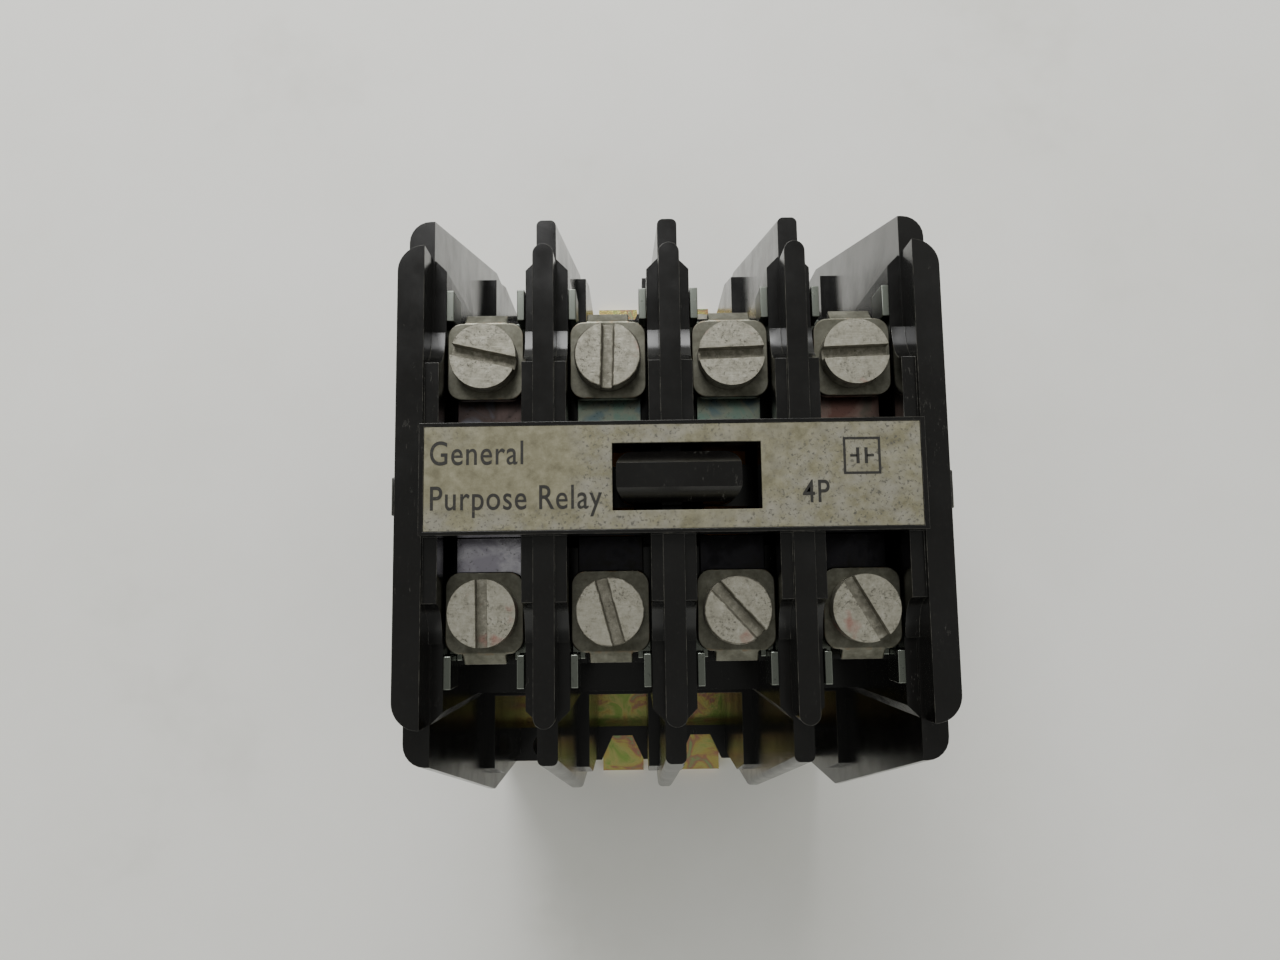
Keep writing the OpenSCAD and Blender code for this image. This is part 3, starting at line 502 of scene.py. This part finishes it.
def contacts_and_springs():
    for node in ("return_spring_upper", "return_spring_lower"):
        coil = spring(node, wire=0.8 * MM, turns=4)
        foot, top = low(node).z, high(node).z
        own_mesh(coil)
    for pole in POLES:
        node, joint = f"contact_spring_{pole}", f"bridge_{pole}_slide"
        coil = spring(node, wire=0.5 * MM, turns=3)
        foot, top = low(node).z, high(node).z
        # A spring below its bridge grows longer as the relay pulls in, which it isn't shown to do.
        if foot > centre(f"contact_bridge_{pole}").z:
            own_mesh(coil)
        broken_edges(f"contact_bridge_{pole}", 0.1)
    broken_edges("fixed_contact_tips", 0.12)


# ---- Terminals ----

# Width of a screw head's rim outside its slot, and the depths between which the slot's faces lie
RIM, SLOT_TOP, SLOT_FLOOR = 0.3 * MM, 0.1 * MM, 1.6 * MM


def slotted_screw(node):
    """A cheese-head screw: its rims are rounded, and its slot is painted with shade and some grime."""
    bm = clean_copy(node)
    axis, top = centre(node), high(node).z
    reach = (high(node).x - low(node).x) / 2 - RIM
    in_slot = []
    for face in bm.faces:
        middle = face.calc_center_median()
        if (middle - axis).xy.length < reach and top - SLOT_FLOOR < middle.z < top - SLOT_TOP:
            in_slot.append(face)
    mark(bm, "slot_shade_and_grime", in_slot)
    round_edges(bm, sharp_edges(bm), 0.16)
    piece(node + "_finished", bm, node)


def terminals():
    for end, place in TERMINALS:
        broken_edges(f"{end}_strap_{place}", 0.1)
        broken_edges(f"{end}_clamp_{place}", 0.18)
        slotted_screw(f"{end}_screw_{place}")


# ---- Label print ----

LABEL_TOP = high("label_plate").z
INK_FILM = 0.02 * MM
# Capitals of the built-in typeface stand this share of its size, and are set this narrow.
CAPITALS, CONDENSED = 0.73, 0.8


def lettering(name, words, left, base, height):
    """Condensed letters printed on the label: their left end, baseline and height in millimetres."""
    data = bpy.data.curves.new(name, "FONT")
    data.body = words
    data.size = height / CAPITALS * MM
    # The strokes swell by this much on each side.
    data.offset = 0.02 * MM
    data.extrude = INK_FILM / 2
    data.space_character = 1.08
    drawn = bpy.data.objects.new(name + "_outline", data)
    bpy.context.scene.collection.objects.link(drawn)
    mesh = bpy.data.meshes.new_from_object(drawn.evaluated_get(bpy.context.evaluated_depsgraph_get()))
    bpy.data.objects.remove(drawn)
    place = Matrix.Translation((left * MM, base * MM, LABEL_TOP + INK_FILM / 2))
    mesh.transform(place @ Matrix.Diagonal((CONDENSED, 1, 1, 1)))
    bm = bmesh.new()
    bm.from_mesh(mesh)
    bmesh.ops.remove_doubles(bm, verts=bm.verts, dist=0.0005 * MM)
    piece(name, bm, "label_plate", INK, stands_for=False)


def contact_symbol(x, y, size):
    """A square outline round the sign for an open contact: a lead, two bars and a lead."""
    line = 0.24
    bm = bmesh.new()

    def bar(across, up, width, height):
        place = Matrix.Translation(((x + across) * MM, (y + up) * MM, LABEL_TOP + INK_FILM / 2))
        stretch = Matrix.Diagonal((width * MM, height * MM, INK_FILM, 1))
        bmesh.ops.create_cube(bm, size=1, matrix=place @ stretch)

    for side in (-1, 1):
        # A level and an upright line of the square
        bar(0, side * size / 2, size + line, line)
        bar(side * size / 2, 0, line, size - line)
        # A contact and its lead
        bar(side * size * 0.12, 0, line * 1.3, size * 0.46)
        bar(side * size * 0.24, 0, size * 0.2, line)
    piece("contact_symbol", bm, "label_plate", INK, stands_for=False)


def label_print():
    lettering("lettering_upper", "General", left=-23.7, base=1.35, height=2.45)
    lettering("lettering_lower", "Purpose Relay", left=-23.7, base=-3.05, height=2.45)
    lettering("lettering_poles", "4P", left=12.5, base=-2.75, height=2.3)
    contact_symbol(x=18.4, y=1.75, size=3.4)


# ---- Stage, light and camera ----

def stage_floor():
    """A white table that reaches three metres each way."""
    bm = bmesh.new()
    bmesh.ops.create_grid(bm, x_segments=1, y_segments=1, size=3)
    mesh = bpy.data.meshes.new("table")
    bm.to_mesh(mesh)
    bm.free()
    table = bpy.data.objects.new("table", mesh)
    bpy.context.scene.collection.objects.link(table)
    tones = [(0.3, "#e6e5df"), (0.42, "#f0efea"), (0.6, "#f4f3ef")]
    mesh.materials.append(plain("white_table", tones, 60, 0.6))


def soft_room():
    """A room with bright walls, whose ceiling over the relay is dim."""
    world = bpy.data.worlds.new("soft_room")
    world.use_nodes = True
    tree = world.node_tree
    way = add(tree, "ShaderNodeTexCoord").outputs["Generated"]
    up = add(tree, "ShaderNodeSeparateXYZ", {0: way}).outputs["Z"]
    back = tree.nodes["Background"]
    back.inputs["Color"].default_value = srgb("#eff0ea")
    strength = add(tree, "ShaderNodeMapRange", {"Value": up}, {
        "From Min": 0.78, "From Max": 0.93, "To Min": 0.85, "To Max": 0.27,
    })
    tree.links.new(strength.outputs["Result"], back.inputs["Strength"])
    bpy.context.scene.world = world


def window():
    """A large soft light beyond the line end, turned towards the foot of the relay."""
    data = bpy.data.lights.new("window", "AREA")
    data.shape = "DISK"
    data.size = 0.34
    data.energy = 2.3
    light = bpy.data.objects.new("window", data)
    light.location = (-0.07, 0.36, 0.4)
    target = Vector((0, 0.02, 0.04))
    light.rotation_euler = (target - light.location).to_track_quat("-Z", "Y").to_euler()
    bpy.context.scene.collection.objects.link(light)


def camera():
    """A short lens close above the label, tipped up a little and rolled slightly."""
    data = bpy.data.cameras.new("camera")
    data.lens = 28.125
    data.sensor_width = 36
    data.clip_start = 0.01
    made = bpy.data.objects.new("camera", data)
    above_cover = 96.06 * MM
    made.location = (-3.64 * MM, -12.39 * MM, high("front_cover").z + above_cover)
    tilt, turn, roll = 7.13, -0.15, -0.82
    made.rotation_euler = Euler((math.radians(tilt), math.radians(turn), math.radians(roll)), "XYZ")
    bpy.context.scene.collection.objects.link(made)
    bpy.context.scene.camera = made


housing()
magnet_and_coil()
contacts_and_springs()
terminals()
label_print()
for node, thing in frame["nodes"].items():
    thing.data.materials.clear()
    thing.data.materials.append(finish_of(node))

stage_floor()
soft_room()
window()
camera()
